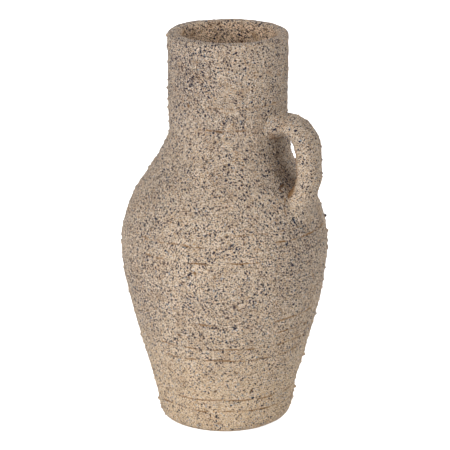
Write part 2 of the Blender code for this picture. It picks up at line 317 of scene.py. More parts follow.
class JugClayColours(PropertyGroup):
    """Colours of the dry clay and its grog, two of which also paint light or shade."""

    foot: colour("Foot", "#CEB799", "Ground at the foot, the pinkest")
    belly: colour("Belly", "#C8B59E", "Ground at the belly")
    neck: colour("Neck", "#AD9D8B", "Ground at the neck, the greyest")
    # Paler than the outside ground, which paints light into the mouth; the warmer hue is the inside's
    # own
    inside: colour("Inside", "#F3D7B9", "Ground inside the mouth")
    pale: colour("Pale grain", "#E2D3C2", "Pale quartz grains")
    tan: colour("Tan grain", "#AC8352", "Tan grog grains")
    umber: colour("Umber grain", "#6E5743", "Dark brown grog grains")
    iron: colour("Iron speck", "#0F162D", "Blue-black iron specks")
    slate: colour("Slate fleck", "#808D98", "Pale blue-grey flecks")
    # Red-brown of real staining, also laid as painted shade in the lines, cracks and pits
    rust_and_hollow_shade: colour("Rust", "#7E5A34", "Rust-brown stains in lines and pits")


def to_mesh(bm, name):
    """A mesh made from a bmesh, which is freed."""
    mesh = bpy.data.meshes.new(name)
    bm.to_mesh(mesh)
    bm.free()
    return mesh


def add_object(data):
    """An object in the scene for a mesh, a lamp or a camera, named after it."""
    obj = bpy.data.objects.new(data.name, data)
    bpy.context.scene.collection.objects.link(obj)
    return obj


# The body's outline and wall


class Wall:
    """Outline of the body and the wall behind it, in metres."""

    def __init__(self, sizes):
        self.sizes = sizes
        self.neck_root = sizes.belly_height + sizes.shoulder_rise
        self.top = self.neck_root + sizes.neck_height
        base = Vector((sizes.base_radius, 0))
        belly = Vector((sizes.belly_radius, sizes.belly_height))
        neck = Vector((sizes.neck_radius, self.neck_root))
        mouth = Vector((sizes.mouth_radius, self.top))
        foot = base + Vector((sizes.foot_spread, sizes.foot_upright * sizes.belly_height))
        below = belly - Vector((0, sizes.full_below * sizes.belly_height))
        above = belly + Vector((0, sizes.full_above * sizes.shoulder_rise))
        sweep = neck - Vector((0, sizes.neck_sweep * sizes.shoulder_rise))
        curves = (
            (base, foot, below, belly),
            (belly, above, sweep, neck),
            (neck, neck.lerp(mouth, 1 / 3), neck.lerp(mouth, 2 / 3), mouth),
        )
        points = []
        for knots in curves:
            points += interpolate_bezier(*knots, OUTLINE_POINTS)[1 if points else 0 :]
        self.radii, self.heights = np.array(points).T

    def radius(self, height):
        """Outside radius at a height."""
        return np.interp(height, self.heights, self.radii)

    def inner_radius(self, height):
        """Inside radius at a height, where the wall thickens to the lip."""
        sizes = self.sizes
        swell = np.clip(1 - (self.top - height) / sizes.lip_swell, 0, 1)
        return self.radius(height) - sizes.wall - (sizes.lip_wall - sizes.wall) * swell

    def facing(self, height):
        """Outward direction of the outside at a height, as its radial and upright parts."""
        step = 0.5 * MM
        slope = (self.radius(height + step) - self.radius(height - step)) / (2 * step)
        size = np.hypot(1, slope)
        return 1 / size, -slope / size


# A section is a list of rows: radius, height, outward direction (radial, upright), detail and inside


def wall_rows(wall, start, end, gap, inner=False, detail=1.0):
    """Rows along the outside or the inside of the wall, from one height to another."""
    radius, side = (wall.inner_radius, -1) if inner else (wall.radius, 1)
    count = max(1, round(abs(end - start) / gap))
    rows = []
    for i in range(count + 1):
        z = start + (end - start) * i / count
        out, up = wall.facing(z)
        rows.append((float(radius(z)), z, side * float(out), side * float(up), detail, float(inner)))
    return rows


def round_rows(centre, radius, start, count, inside):
    """Rows over a quarter circle that turns clockwise from the angle start, in degrees."""
    rows = []
    for i in range(count + 1):
        angle = math.radians(start - 90 * i / count)
        out, up = math.cos(angle), math.sin(angle)
        shade = inside * (1 - i / count)
        rows.append((centre[0] + radius * out, centre[1] + radius * up, out, up, 1.0, shade))
    return rows


def course_section(wall, low, high, gap):
    """Closed section of one course with its lap, down the outside and up the inside."""
    lap = wall.sizes.lap
    inside = wall_rows(wall, low - lap + SLIP, high - lap, HIDDEN_GAP, inner=True, detail=0.0)
    return wall_rows(wall, high, low, gap) + inside


def neck_section(wall, low, gap):
    """Closed section of the neck, which ends in the flat lip with its rounded edges."""
    sizes = wall.sizes
    inner_edge = wall.top - sizes.mouth_round
    outer_edge = wall.top - sizes.lip_round
    inner = (float(wall.inner_radius(inner_edge)) + sizes.mouth_round, inner_edge)
    outer = (float(wall.radius(outer_edge)) - sizes.lip_round, outer_edge)
    start = low - sizes.lap + SLIP
    visible = wall.top - MOUTH_DEPTH
    over = round_rows(inner, sizes.mouth_round, 180, 8, 1.0)
    for i in range(1, 5):
        over.append((inner[0] + (outer[0] - inner[0]) * i / 5, wall.top, 0.0, 1.0, 1.0, 0.0))
    over += round_rows(outer, sizes.lip_round, 90, 5, 0.0)
    down = wall_rows(wall, outer_edge, low, gap)[1:]
    hidden = wall_rows(wall, start, visible, HIDDEN_GAP, inner=True, detail=0.0)
    shown = wall_rows(wall, visible, inner_edge, MOUTH_GAP, inner=True, detail=MOUTH_DETAIL)
    return over + down + hidden + shown[1:-1]


def slab_section(wall, seam, gap):
    """Open section of the slab from axis to axis, with its rounded bottom edge."""
    sizes = wall.sizes
    edge = float(wall.radius(sizes.base_round)) - sizes.base_round
    inner = float(wall.inner_radius(sizes.floor))
    top = [(radius, sizes.floor, 0.0, 1.0, 0.0, 1.0) for radius in (0.0, inner)]
    side = wall_rows(wall, seam, sizes.base_round, gap)
    under = round_rows((edge, sizes.base_round), sizes.base_round, 0, 14, 0.0)[1:]
    fade = [(*row[:4], min(1.0, row[1] / BASE_FADE), 0.0) for row in under]
    return top + side + fade + [(0.0, 0.0, 0.0, -1.0, 0.0, 0.0)]


def spin_section(name, rows):
    """The section turned a full circle about Z as a mesh, with the turn and the row of each vertex.

    The section is open where it starts on the axis.
    """
    bm = bmesh.new()
    number = bm.verts.layers.float.new("row")
    verts = []
    for i, row in enumerate(rows):
        verts.append(bm.verts.new((row[0], 0, row[1])))
        verts[i][number] = i
    closed = rows[0][0] > 0
    ends = verts[1:] + verts[:1] if closed else verts[1:]
    edges = [bm.edges.new(pair) for pair in zip(verts, ends)]
    bmesh.ops.spin(
        bm, geom=verts + edges, cent=(0, 0, 0), axis=(0, 0, 1),
        angle=math.tau, steps=SPIN_STEPS, use_merge=True,
    )
    if not closed:
        poles = [vert for vert in bm.verts if vert.co.xy.length < POLE_REACH]
        bmesh.ops.remove_doubles(bm, verts=poles, dist=POLE_REACH)
    around = [edge for edge in bm.edges if edge.verts[0][number] == edge.verts[1][number]]
    bmesh.ops.subdivide_edges(bm, edges=around, cuts=SPIN_CUTS, use_grid_fill=True)
    bmesh.ops.recalc_face_normals(bm, faces=bm.faces)
    turn = np.array([math.atan2(vert.co.y, vert.co.x) for vert in bm.verts])
    found = np.rint([vert[number] for vert in bm.verts]).astype(int)
    bm.verts.layers.float.remove(number)
    return to_mesh(bm, name), turn, np.array(rows)[found]


# The relief of the fired clay


def scatter(cells, seed):
    """A repeatable number from -1 to 1 for each whole-numbered cell, mixed by large odd factors."""
    mixed = cells[:, 0] * 73856093 ^ cells[:, 1] * 19349663 ^ cells[:, 2] * 83492791 ^ seed * 2654435761
    mixed = (mixed & 0xFFFFFFFF) * 1274126177 & 0xFFFFFFFF
    mixed ^= mixed >> 15
    mixed = mixed * 2246822519 & 0xFFFFFFFF
    mixed ^= mixed >> 13
    return mixed / 2**31 - 1


def bumps(places, size, seed):
    """Soft random relief from -1 to 1, with bumps about size metres apart. Each seed has its own."""
    spots = places / size + 31.7 * seed
    cells = np.floor(spots).astype(np.int64)
    parts = spots - cells
    ease = parts**3 * (parts * (parts * 6 - 15) + 10)
    total = np.zeros(len(places))
    for corner in np.ndindex(2, 2, 2):
        weight = np.where(np.array(corner, dtype=bool), ease, 1 - ease).prod(axis=1)
        total += weight * scatter(cells + corner, seed)
    return total


def angle_between(turns, middle):
    """How far each turn is from the middle one, in degrees."""
    return (turns - middle + 180) % 360 - 180


def from_place(wall, turns, heights, turn, height):
    """How far each point lies from a place on the wall, around it and upwards, in metres."""
    around = np.radians(angle_between(turns, turn)) * wall.radius(height * MM)
    return around, heights - height * MM


def press_lines(turns, heights, places):
    """Depth and browning of the ring lines, which wander a little and fade in and out."""
    depth, brown = np.zeros((2, len(turns)))
    for i, (height, deep, middle, half, tint) in enumerate(LINES):
        height *= MM
        away = np.abs(angle_between(turns, middle))
        near = (np.abs(heights - height) < LINE_REACH) & (away < half + LINE_FADE)
        if not near.any():
            continue
        spots = places[near].copy()
        spots[:, 2] = height
        wander = 0.9 * MM * bumps(spots, 22 * MM, 40 + i) + 0.35 * MM * bumps(spots, 6 * MM, 80 + i)
        broken = np.clip(0.8 + 0.7 * bumps(spots, 7 * MM, 120 + i), 0.25, 1.1)
        fade = np.clip((half + LINE_FADE - away[near]) / (2 * LINE_FADE), 0, 1) * broken
        groove = np.exp(-(((heights[near] - height - wander) / LINE_WIDTH) ** 2)) * fade
        depth[near] = np.maximum(depth[near], groove * deep * MM)
        brown[near] = np.maximum(brown[near], groove * tint)
    return depth, brown


def press_cracks(wall, turns, heights, places):
    """Depth and browning of the fine cracks, which wander and break up."""
    depth, brown = np.zeros((2, len(turns)))
    wander = 0.6 * MM * bumps(places, 5 * MM, 160)
    broken = np.clip(0.7 + 0.9 * bumps(places, 4 * MM, 161), 0.2, 1)
    for deep, tint, *course in CRACKS:
        for (turn, height), (next_turn, next_height) in zip(course, course[1:]):
            around, along = from_place(wall, turns, heights, turn, height)
            around += wander
            run = math.radians(next_turn - turn) * wall.radius(height * MM)
            rise = (next_height - height) * MM
            passed = np.clip((around * run + along * rise) / (run**2 + rise**2), 0, 1)
            far = np.hypot(around - passed * run, along - passed * rise)
            groove = np.exp(-((far / CRACK_WIDTH) ** 2)) * broken
            depth = np.maximum(depth, groove * deep * MM)
            brown = np.maximum(brown, groove * tint)
    return depth, brown


def press_marks(wall, turns, heights):
    """Relief, browning and darkening of the single marks and of the largest proud grains."""
    relief, brown, dark = np.zeros((3, len(turns)))
    grains = tuple(
        (turn, height, PROUD_WIDTH, PROUD_WIDTH, 0, -out, PROUD_BROWN, 0)
        for turn, height, out in PROUD_GRAINS
    )
    for turn, height, half_width, half_height, tilt, deep, tint, shade in MARKS + grains:
        around, along = from_place(wall, turns, heights, turn, height)
        near = (np.abs(around) < MARK_REACH) & (np.abs(along) < MARK_REACH)
        if not near.any():
            continue
        lean = math.radians(tilt)
        x = around[near] * math.cos(lean) + along[near] * math.sin(lean)
        y = along[near] * math.cos(lean) - around[near] * math.sin(lean)
        far = (x / (half_width * MM)) ** 2 + (y / (half_height * MM)) ** 2
        mark = np.exp(-(far**1.5) * 0.7)
        relief[near] -= mark * deep * MM
        brown[near] = np.maximum(brown[near], mark * tint)
        dark[near] = np.maximum(dark[near], mark * shade)
    return relief, brown, dark


def broad_swells(wall, turns, heights):
    """How far the hand's broad swells and dents stand out at each point."""
    relief = np.zeros(len(turns))
    for turn, height, half_width, half_height, out in SWELLS:
        around, along = from_place(wall, turns, heights, turn, height)
        far = (around / (half_width * MM)) ** 2 + (along / (half_height * MM)) ** 2
        relief += out * MM * np.exp(-far)
    return relief


def wall_grains(wall, count, seed):
    """Places spread over the outside and down into the mouth, with two random numbers for each."""
    draw = np.random.default_rng(seed)
    heights = draw.uniform(3 * MM, wall.top + GRAINY_NECK * wall.sizes.neck_height, count)
    turns = draw.uniform(-np.pi, np.pi, count)
    keep = draw.uniform(0, wall.sizes.belly_radius, count) < wall.radius(heights)
    picks = draw.uniform(0, 1, (count, 2))
    over = heights > wall.top
    folded = np.where(over, 2 * wall.top - heights, heights)
    radii = np.where(over, wall.inner_radius(folded), wall.radius(folded))
    places = np.stack([radii * np.cos(turns), radii * np.sin(turns), folded], axis=1)
    return places[keep], picks[keep]


def press_grains(places, centres, sizes, lifts):
    """Relief of rounded grains at the given centres, each with its own radius and height."""
    low = places[:, 2].min() - GRAIN_REACH
    high = places[:, 2].max() + GRAIN_REACH
    tree = KDTree(len(places))
    for i, place in enumerate(places):
        tree.insert(place, i)
    tree.balance()
    relief = np.zeros(len(places))
    for centre, radius, height in zip(centres, sizes, lifts):
        if not low < centre[2] < high:
            continue
        for _, i, far in tree.find_range(centre, radius):
            relief[i] = max(relief[i], height * (1 - (far / radius) ** 2) ** 1.5)
    return relief


def sandy_relief(surface, places, smooth):
    """Relief of the clay skin: coil bands, finger dents, and the share of the sand that a hand left."""
    bands = places * (0.12, 0.12, 1)
    relief = surface.coil_swell * bumps(bands, 13 * MM, 11)
    relief += surface.dents * (bumps(places, 24 * MM, 12) + 0.55 * bumps(places, 9 * MM, 13))
    relief += smooth * surface.sand * (bumps(places, 3.2 * MM, 14) + 0.9 * bumps(places, 1.5 * MM, 15))
    return relief


def grain_relief(surface, places, grit, pits, smooth):
    """Relief of the proud grains and the pits, and how brown the pits are.

    grit and pits give the places of each kind, with two random numbers for each place.
    """
    radius = surface.grit_radius
    centres, picks = grit
    tall = np.sqrt(np.clip(1 - (1 - picks[:, 1]) / TALL_SHARE, 0, 1))
    sizes = radius * (0.6 + 0.5 * picks[:, 0] ** 2 + 0.4 * tall)
    proud = smooth * press_grains(places, centres, sizes, surface.grit_height * (0.2 + tall))
    centres, picks = pits
    sunk = press_grains(places, centres, radius * (0.6 + picks[:, 0]), picks[:, 1] * PIT_DEPTH)
    return proud - sunk, PIT_BROWN * sunk / PIT_DEPTH


def grog_drift_and_shade(turns, heights, reach):
    """How much thicker or thinner the dark grog lies at each point, with two drifts that paint the shade
    by the handle.
    """
    drift = np.interp(heights, FOOT_HEIGHTS, (FOOT_DRIFT, 0))
    for turn, height, spread, much in DRIFTS:
        around = np.radians(angle_between(turns, turn)) * reach
        drift += much * np.exp(-(around**2 + (heights - height * MM) ** 2) / (spread * MM) ** 2)
    return drift


def settle(mesh, places, stains_and_shade):
    """Moves a mesh's vertices to their last places, leaning as the pot does, and stores its tints, some
    of them painted shade.
    """
    lean = MM * np.interp(places[:, 2], LEAN_HEIGHTS, LEANS)
    places = places + lean[:, None] * (math.cos(LEAN_TURN), math.sin(LEAN_TURN), 0)
    places[:, 2] = np.maximum(places[:, 2], 0)
    mesh.vertices.foreach_set("co", places.astype(np.float32).ravel())
    mesh.update()
    for key, values in stains_and_shade.items():
        layer = mesh.attributes.new(key, "FLOAT", "POINT")
        layer.data.foreach_set("value", values.astype(np.float32))


def show_piece(context, mesh, node):
    """Puts a finished piece in the scene in place of its CAD node."""
    if not mesh.polygons:
        raise ValueError(f"{mesh.name} has no faces")
    mesh.shade_smooth()
    mesh.set_sharp_from_angle(angle=SHARP_ANGLE)
    mesh.materials.append(clay(context))
    obj = add_object(mesh)
    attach(obj, "root")
    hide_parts(node)


def make_turned(context, wall, node, rows):
    """Spins, weathers and shows one turned piece."""
    surface = context.scene.jug_surface
    mesh, turn, found = spin_section(f"{node}_fired", rows)
    reach, rise, out, up, detail, inside = found.T
    side = np.stack([np.cos(turn), np.sin(turn), np.zeros(len(turn))], axis=1)
    upright = np.array((0, 0, 1))
    places = side * reach[:, None] + upright * rise[:, None]
    facing = side * out[:, None] + upright * up[:, None]
    turns = np.degrees(turn)

    relief, brown, dark = np.zeros((3, len(reach)))
    fine = detail > 0
    grit = wall_grains(wall, surface.grit_count, surface.seed + 1)
    pits = wall_grains(wall, surface.pit_count, surface.seed + 2)
    relief[fine], brown[fine] = grain_relief(surface, places[fine], grit, pits, 1.0)
    relief[fine] += sandy_relief(surface, places[fine], 1.0)
    pressed = fine & (inside < 0.5)
    depth, line_brown = press_lines(turns[pressed], rise[pressed], places[pressed])
    crack, crack_brown = press_cracks(wall, turns[pressed], rise[pressed], places[pressed])
    lift, mark_brown, mark_dark = press_marks(wall, turns[pressed], rise[pressed])
    relief[pressed] += lift - np.maximum(depth, crack)
    brown[pressed] = np.maximum.reduce([brown[pressed], line_brown, crack_brown, mark_brown])
    dark[pressed] = mark_dark

    # The wall wanders less near the axis and the ground, and the swells fade out over the floor
    free = np.clip(reach / (30 * MM), 0, 1) * np.clip(rise / (10 * MM), 0, 1)
    wobble = surface.wobble * free * bumps(places, 85 * MM, surface.seed)
    wobble += broad_swells(wall, turns, rise) * np.clip(reach / wall.inner_radius(rise), 0, 1) ** 4
    places += side * wobble[:, None] + facing * (relief * detail)[:, None]
    drift = grog_drift_and_shade(turns, rise, reach) + MOUTH_DRIFT * inside
    settle(mesh, places, {"brown": brown, "dark": dark, "drift": drift, "inside": inside})
    show_piece(context, mesh, node)


# The handle

# The strap's section: sides, and from 2, an ellipse, on to squarer ones
STRAP_SIDES = 144
STRAP_SQUARENESS = 2.2

# Steps of the strap's path, of the coarse one for its joints, and the length between its rings
PATH_STEPS = 400
JOINT_STEPS = 15
STRAP_GAP = 0.75 * MM

# How far the strap's curves run on at their ends, as shares of its reach, rise or fall
LEAVES_OUT = 0.62
LEAVES_UP = 0.36
CROWN_FULL = 0.77
CROWN_EASE = 0.14
LANDS_IN = 0.18
LANDS_UPRIGHT = 0.36

# Grains and pits on the strap
STRAP_GRAINS = 900
STRAP_PITS = 60


def handle_middle(wall, sizes, steps):
    """Middle line of the strap in the XZ plane, from inside the neck down into the shoulder."""
    top_height = wall.neck_root + sizes.top_rise
    foot_height = top_height - sizes.drop
    crown_height = top_height - sizes.drop * sizes.crown
    top = Vector((wall.radius(top_height) - sizes.root_depth, top_height))
    crown = Vector((wall.radius(top_height) + sizes.reach, crown_height))
    foot = Vector((wall.radius(foot_height) - sizes.root_depth, foot_height))
    out = crown.x - top.x
    rise = top.y - crown.y
    fall = crown.y - foot.y
    leaving = top + Vector((LEAVES_OUT * out, LEAVES_UP * rise))
    landing = foot + Vector((LANDS_IN * fall, LANDS_UPRIGHT * fall))
    over = interpolate_bezier(top, leaving, crown + Vector((0, CROWN_FULL * rise)), crown, steps + 1)
    down = interpolate_bezier(crown, crown - Vector((0, CROWN_EASE * fall)), landing, foot, steps + 1)
    buried = foot + (foot - landing).normalized() * sizes.root_depth
    return np.array([*over, *down[1:], buried])


def directions(line):
    """Unit direction of a line of points at each of them."""
    ways = np.gradient(line, axis=0)
    return ways / np.linalg.norm(ways, axis=1, keepdims=True)


def joint_places(wall, sizes):
    """Where the strap meets its two pads: the first and the last place that is clear of the wall."""
    line = handle_middle(wall, sizes, JOINT_STEPS)
    ways = directions(line)
    across = np.stack([-ways[:, 1], ways[:, 0]], axis=1) * sizes.thickness / 2
    corners = np.stack([line + across, line - across])
    clearance = (corners[..., 0] - wall.radius(corners[..., 1])).min(axis=0)
    clear = np.flatnonzero(clearance[1:-1] > sizes.pad_margin) + 1
    return line[clear[0]], line[clear[-1]]


def even_stations(line, gap):
    """Points at even steps along a line of points."""
    along = np.concatenate([[0], np.cumsum(np.linalg.norm(np.diff(line, axis=0), axis=1))])
    marks = np.linspace(0, along[-1], round(along[-1] / gap) + 1)
    return np.stack([np.interp(marks, along, line[:, i]) for i in range(2)], axis=1)


def straight_tube(count):
    """An upright tube of unit radius with a ring at each whole height from 0 to count."""
    bm = bmesh.new()
    bmesh.ops.create_cone(bm, cap_ends=False, segments=STRAP_SIDES, radius1=1, radius2=1, depth=count)
    bmesh.ops.translate(bm, verts=bm.verts, vec=(0, 0, count / 2))
    along = [edge for edge in bm.edges if abs(edge.verts[0].co.z - edge.verts[1].co.z) > 1]
    bmesh.ops.subdivide_edges(bm, edges=along, cuts=count - 1, use_grid_fill=True)
    bmesh.ops.recalc_face_normals(bm, faces=bm.faces)
    return bm


def strap_shape(wall, sizes, tube, line):
    """Shapes the tube along the line, with the clay smoothed into the wall at its joints.

    Gives each point's place and facing and how far it is clear of the wall, and the joints' stations.
    """
    count = len(line)
    ways = directions(line)
    joints = [int(np.linalg.norm(line - joint, axis=1).argmin()) for joint in joint_places(wall, sizes)]
    station = np.clip(np.rint(tube[:, 2]).astype(int), 0, count - 1)
    turn = np.arctan2(tube[:, 1], tube[:, 0])
    cosine, sine = np.cos(turn), np.sin(turn)
    power = 2 / STRAP_SQUARENESS
    thick = np.sign(cosine) * np.abs(cosine) ** power * sizes.thickness / 2
    wide = np.sign(sine) * np.abs(sine) ** power * sizes.width / 2
    steps = np.arange(count)
    near_end = np.maximum.reduce([
        np.zeros(count),
        1 - steps / joints[0],
        (steps - joints[1]) / (count - 1 - joints[1]),
    ])
    swell = (1 + sizes.flare * near_end)[station]
    level = np.stack([-ways[:, 1], np.zeros(count), ways[:, 0]], axis=1)[station]
    middle = np.stack([line[:, 0], np.zeros(count), line[:, 1]], axis=1)[station]
    across = np.array((0, 1, 0))
    offset = level * thick[:, None] + across * wide[:, None]
    facing = level * (cosine / sizes.thickness)[:, None] + across * (sine / sizes.width)[:, None]
    facing /= np.linalg.norm(facing, axis=1, keepdims=True)
    places = middle + offset * swell[:, None]
    reach = np.hypot(places[:, 0], places[:, 1])
    out, up = wall.facing(places[:, 2])
    clear = (reach - wall.radius(places[:, 2])) * out
    off_wall = np.stack([places[:, 0] / reach * out, places[:, 1] / reach * out, up], axis=1)
    along_wall = facing - (facing * off_wall).sum(axis=1)[:, None] * off_wall
    # The fillet is rounder on the outer side of the bow, most of all at the lower joint
    low = np.clip((station - joints[0]) / (joints[1] - joints[0]), 0, 1)
    round_in = sizes.fillet * (0.65 + 0.35 * cosine) * (1 + 1.2 * low * (0.5 + 0.5 * cosine))
    short = np.clip(round_in - clear, 0, round_in)
    fillet = round_in - np.sqrt(round_in**2 - short**2)
    return places + along_wall * fillet[:, None], facing, clear, joints


def cut_length(whole, first, last, name):
    """The part of the strap between two stations, closed at both ends, as a mesh of its own."""
    bm = whole.copy()
    number = bm.verts.layers.int["station"]
    away = [face for face in bm.faces if not all(first <= vert[number] <= last for vert in face.verts)]
    bmesh.ops.delete(bm, geom=away, context="FACES")
    rims = [edge for edge in bm.edges if edge.is_boundary]
    bmesh.ops.holes_fill(bm, edges=rims, sides=0)
    # strap_shape mirrors the straight tube, so its faces are turned outwards again
    bmesh.ops.reverse_faces(bm, faces=bm.faces)
    mesh = to_mesh(bm, name)
    mesh.attributes.remove(mesh.attributes["station"])
    return mesh


def strap_stains_and_shade(wall, sizes, places, facing, clear, brown):
    """Painted shade on the side that faces the body and in the crease under the upper joint, red-brown,
    and a little dark in the crease.
    """
    beside = np.clip(1 - (clear - 6 * MM) / (10 * MM), 0.6, 1)
    # Red-brown painted shade on the side that faces the body, and in the crease under the upper joint
    under = np.clip(0.1 - 1.2 * facing[:, 0], 0, 1) ** 2 * beside
    crease = np.clip(1.2 - np.abs(clear - 2.5 * MM) / (4 * MM), 0, 1)
    crease *= np.clip(0.3 - facing[:, 2], 0, 1)
    crease[places[:, 2] < wall.neck_root - 0.3 * sizes.drop] *= 0.2
    return {
        "brown": np.maximum.reduce([brown, 0.9 * under, 0.55 * crease]),
        "dark": 0.12 * crease,
        "drift": np.full(len(brown), STRAP_DRIFT),
        "inside": np.zeros(len(brown)),
    }


def make_handle(context, wall):
    """Shapes the strap in one length with its joints, and shows it as the strap and its two pads."""
    sizes = context.scene.jug_handle
    surface = context.scene.jug_surface
    line = even_stations(handle_middle(wall, sizes, PATH_STEPS), STRAP_GAP)
    bm = straight_tube(len(line) - 1)
    number = bm.verts.layers.int.new("station")
    for vert in bm.verts:
        vert[number] = round(vert.co.z)
    tube = np.array([vert.co for vert in bm.verts])
    places, facing, clear, joints = strap_shape(wall, sizes, tube, line)
    draw = np.random.default_rng(surface.seed + 3)
    detail = np.clip(clear / MM, 0, 1)
    shown = np.flatnonzero(detail > 0)
    grit, pits = (
        (places[draw.choice(shown, count)], draw.uniform(0, 1, (count, 2)))
        for count in (STRAP_GRAINS, STRAP_PITS)
    )
    relief, brown = grain_relief(surface, places, grit, pits, sizes.sandiness)
    relief += sandy_relief(surface, places, sizes.sandiness)
    places += facing * (relief * detail)[:, None]
    whole = to_mesh(bm, "strap_whole")
    settle(whole, places, strap_stains_and_shade(wall, sizes, places, facing, clear, brown))
    bm = bmesh.new()
    bm.from_mesh(whole)
    bpy.data.meshes.remove(whole)
    for node, first, last in (
        ("handle_top_pad", 0, joints[0]),
        ("handle", *joints),
        ("handle_foot_pad", joints[1], len(line) - 1),
    ):
        show_piece(context, cut_length(bm, first, last, f"{node}_fired"), node)
    bm.free()


# Materials


def add_node(tree, kind, inputs=None, output=0, **settings):
    """Adds a shader node with its settings and gives one of its outputs.

    inputs gives each socket a value, a colour or another node's output. A MapRange takes 0 from its
    range 1 to 2 into the range 3 to 4. A colour Mix lays 7 over 6 by the share 0 and gives output 2.
    """
    node = tree.nodes.new(f"ShaderNode{kind}")
    for key, value in settings.items():
        setattr(node, key, value)
    for key, value in (inputs or {}).items():
        socket = node.inputs[key]
        if isinstance(value, NodeSocket):
            tree.links.new(value, socket)
        elif socket.type == "RGBA":
            socket.default_value = (*value, 1)
        else:
            socket.default_value = value
    return node.outputs[output]


def grain_mask(add, coords, size, often, small, large):
    """Mask of rounded grains, one in some of the cells, with radii between two shares of a cell."""
    cells = {"Vector": coords, "Scale": 1 / size, "Randomness": 0.85}
    far = add("TexVoronoi", cells, "Distance")
    picks = add("SeparateColor", {0: far.node.outputs["Color"]}).node.outputs
    radius = add("MapRange", {0: picks[0], 3: small, 4: large})
    within = add("Math", {0: radius, 1: far}, operation="SUBTRACT")
    spot = add("MapRange", {0: within, 1: -0.05, 2: 0.05})
    chosen = add("Math", {0: picks[1], 1: often}, operation="LESS_THAN")
    return add("Math", {0: spot, 1: chosen}, operation="MULTIPLY")


# Grains, in the order they are laid over each other: colour, size of their cells in mm, share of the
# cells that hold one, smallest and largest radius in cells, how far they are drawn out and how strong
# they are. Real ones are 0.2 to 2 mm. The finest are drawn at 0.7 mm so that they show
GRAINS = (
    ("pale", 0.72, 0.55, 0.35, 0.60, 1.0, 0.95),
    ("tan", 0.80, 0.34, 0.35, 0.60, 1.0, 0.95),
    ("umber", 0.94, 0.32, 0.28, 0.42, 1.1, 1.00),
    ("slate", 1.9, 0.28, 0.24, 0.40, 1.5, 0.85),
    ("iron", 0.88, 0.62, 0.28, 0.40, 1.0, 1.00),
    ("iron", 1.32, 0.58, 0.33, 0.47, 1.1, 1.00),
    ("iron", 2.6, 0.46, 0.25, 0.38, 1.3, 1.00),
)

# Turn of the plane that the grains are drawn out in, in radians, and how far the wedged clay is stirred
GRAIN_TILT = (0, 0.6, 0.54)
STIR = 5 * MM


